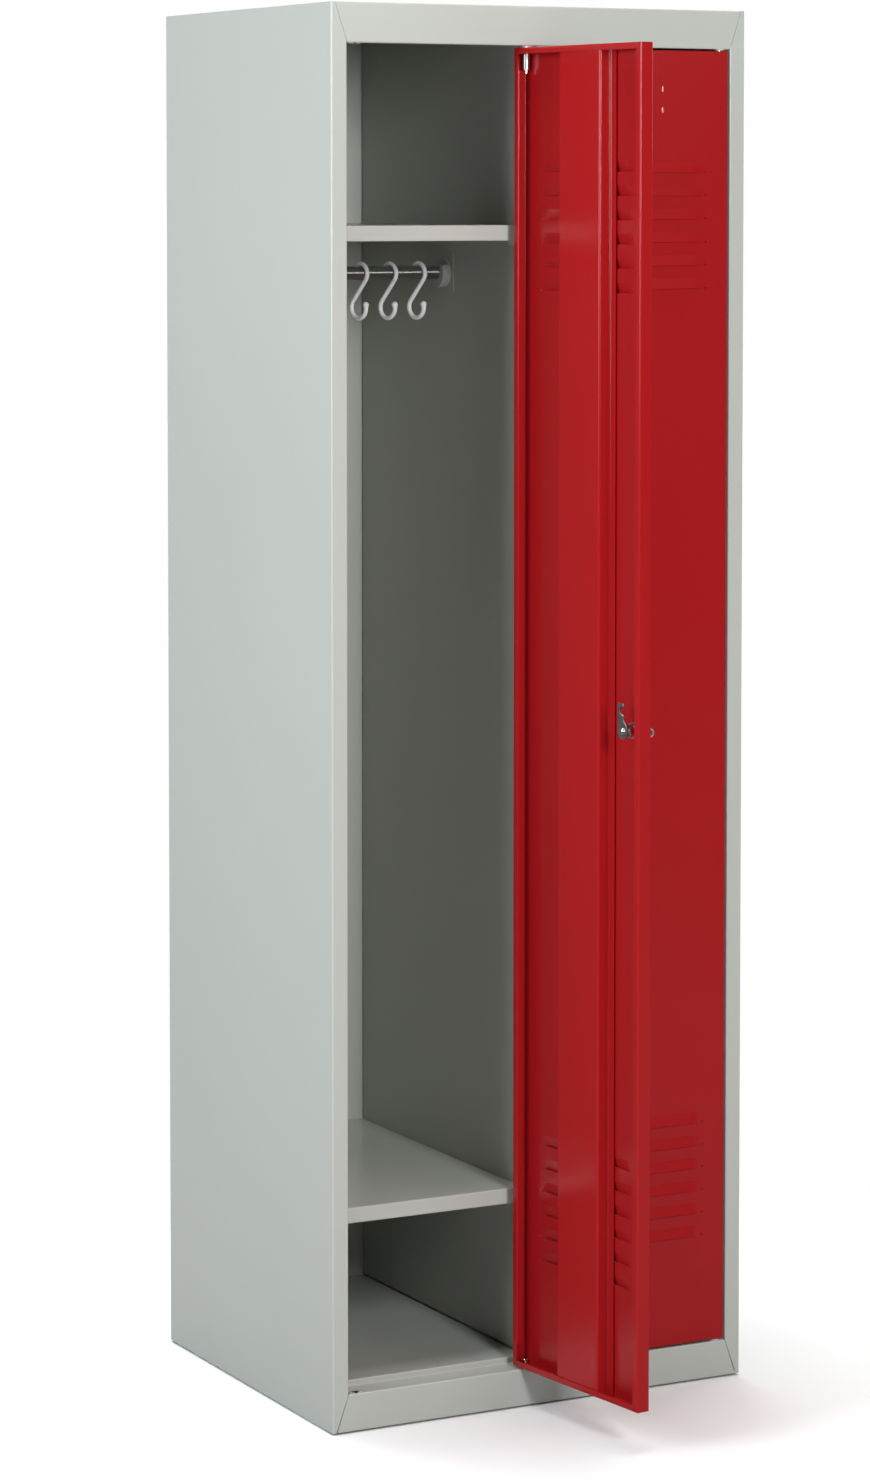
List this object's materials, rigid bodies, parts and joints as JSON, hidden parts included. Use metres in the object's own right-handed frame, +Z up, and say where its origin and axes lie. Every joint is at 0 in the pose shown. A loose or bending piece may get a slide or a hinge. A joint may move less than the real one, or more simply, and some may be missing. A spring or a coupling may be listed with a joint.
{
  "type": "metal clothes locker",
  "caption": "Free-standing folded-sheet metal locker with side-by-side compartments, louvred pivot-hung doors, turning padlock hasps, shelves, hanging rails and loose hooks.",
  "frame": {"origin": "middle of the bounding box with the left door open as pictured, on the ground the locker stands on", "axes": "+Z up, -Y the front that the doors face, +X to the right as seen from the front"},
  "size_m": [0.6, 0.7476, 1.8],
  "materials": {
    "grey_coat": "satin light grey powder coat on sheet steel",
    "red_coat": "satin red powder coat on sheet steel",
    "chrome": "bright chrome plate on steel",
    "zinc": "zinc-plated steel",
    "white_plastic": "moulded off-white plastic",
    "grey_plastic": "moulded mid-grey plastic"
  },
  "bodies": {
    "carcass": {"left_side_panel": "grey_coat", "right_side_panel": "grey_coat", "top_panel": "grey_coat", "base_panel": "grey_coat", "back_panel": "grey_coat", "centre_partition": "grey_coat", "left_hat_shelf": "grey_coat", "right_hat_shelf": "grey_coat", "left_shoe_shelf": "grey_coat", "right_shoe_shelf": "grey_coat", "left_hat_clip_inner": "grey_coat", "left_hat_clip_outer": "grey_coat", "left_shoe_clip_inner": "grey_coat", "left_shoe_clip_outer": "grey_coat", "right_hat_clip_inner": "grey_coat", "right_hat_clip_outer": "grey_coat", "right_shoe_clip_inner": "grey_coat", "right_shoe_clip_outer": "grey_coat", "left_rail": "chrome", "right_rail": "chrome", "left_rail_plate_inner": "grey_coat", "left_rail_plate_outer": "grey_coat", "right_rail_plate_inner": "grey_coat", "right_rail_plate_outer": "grey_coat", "left_rail_socket_inner": "grey_plastic", "left_rail_socket_outer": "grey_plastic", "right_rail_socket_inner": "grey_plastic", "right_rail_socket_outer": "grey_plastic", "left_upper_bush": "white_plastic", "left_lower_bush": "white_plastic", "right_upper_bush": "white_plastic", "right_lower_bush": "white_plastic"},
    "left_door": {"left_door_panel": "red_coat", "left_door_stiffener": "red_coat", "left_pin_barrel": "zinc", "left_pin_spring": "zinc", "left_lower_pin": "chrome", "left_lock_housing": "chrome", "left_lock_nut": "zinc"},
    "right_door": {"right_door_panel": "red_coat", "right_door_stiffener": "red_coat", "right_pin_barrel": "zinc", "right_pin_spring": "zinc", "right_lower_pin": "chrome", "right_lock_housing": "chrome", "right_lock_nut": "zinc"},
    "left_latch": {"left_hasp_knob": "chrome", "left_lock_cam": "zinc", "left_cam_screw": "zinc"},
    "right_latch": {"right_hasp_knob": "chrome", "right_lock_cam": "zinc", "right_cam_screw": "zinc"},
    "left_plunger": {"left_upper_pin": "chrome"},
    "right_plunger": {"right_upper_pin": "chrome"},
    "left_coat_hook_1": {"left_hook_1": "white_plastic"},
    "left_coat_hook_2": {"left_hook_2": "white_plastic"},
    "left_coat_hook_3": {"left_hook_3": "white_plastic"},
    "right_coat_hook_1": {"right_hook_1": "white_plastic"},
    "right_coat_hook_2": {"right_hook_2": "white_plastic"},
    "right_coat_hook_3": {"right_hook_3": "white_plastic"}
  },
  "joints": [
    {"name": "left_door_hinge", "type": "hinge", "parent": "carcass", "child": "left_door", "pos_m": [-0.0205, -0.11919, 0.9], "axis": [0, 0, 1], "range_deg": [-97, 13]},
    {"name": "right_door_hinge", "type": "hinge", "parent": "carcass", "child": "right_door", "pos_m": [0.2655, -0.11919, 0.9], "axis": [0, 0, 1], "range_deg": [0, 110]},
    {"name": "left_latch_turn", "type": "hinge", "parent": "left_door", "child": "left_latch", "pos_m": [0.01337, -0.34172, 0.90001], "axis": [0.9925, 0.1219, 0], "range_deg": [0, 90]},
    {"name": "right_latch_turn", "type": "hinge", "parent": "right_door", "child": "right_latch", "pos_m": [0.0405, -0.12569, 0.90001], "axis": [0, -1, 0], "range_deg": [0, 90]},
    {"name": "left_upper_pin_slide", "type": "slide", "parent": "left_door", "child": "left_plunger", "axis": [0, 0, 1], "range_m": [-0.009, 0], "stiffness_N_per_m": 300, "springref_m": 0.004, "deforming": ["left_pin_spring"]},
    {"name": "right_upper_pin_slide", "type": "slide", "parent": "right_door", "child": "right_plunger", "axis": [0, 0, 1], "range_m": [-0.009, 0], "stiffness_N_per_m": 300, "springref_m": 0.004, "deforming": ["right_pin_spring"]},
    {"name": "left_hook_1_swing", "type": "hinge", "parent": "carcass", "child": "left_coat_hook_1", "pos_m": [-0.049, 0.12381, 1.45901], "axis": [1, 0, 0], "range_deg": [-45, 45]},
    {"name": "left_hook_2_swing", "type": "hinge", "parent": "carcass", "child": "left_coat_hook_2", "pos_m": [-0.0916, 0.12381, 1.45901], "axis": [1, 0, 0], "range_deg": [-45, 45]},
    {"name": "left_hook_3_swing", "type": "hinge", "parent": "carcass", "child": "left_coat_hook_3", "pos_m": [-0.1342, 0.12381, 1.45901], "axis": [1, 0, 0], "range_deg": [-45, 45]},
    {"name": "right_hook_1_swing", "type": "hinge", "parent": "carcass", "child": "right_coat_hook_1", "pos_m": [0.049, 0.12381, 1.45901], "axis": [1, 0, 0], "range_deg": [-45, 45]},
    {"name": "right_hook_2_swing", "type": "hinge", "parent": "carcass", "child": "right_coat_hook_2", "pos_m": [0.0916, 0.12381, 1.45901], "axis": [1, 0, 0], "range_deg": [-45, 45]},
    {"name": "right_hook_3_swing", "type": "hinge", "parent": "carcass", "child": "right_coat_hook_3", "pos_m": [0.1342, 0.12381, 1.45901], "axis": [1, 0, 0], "range_deg": [-45, 45]}
  ]
}
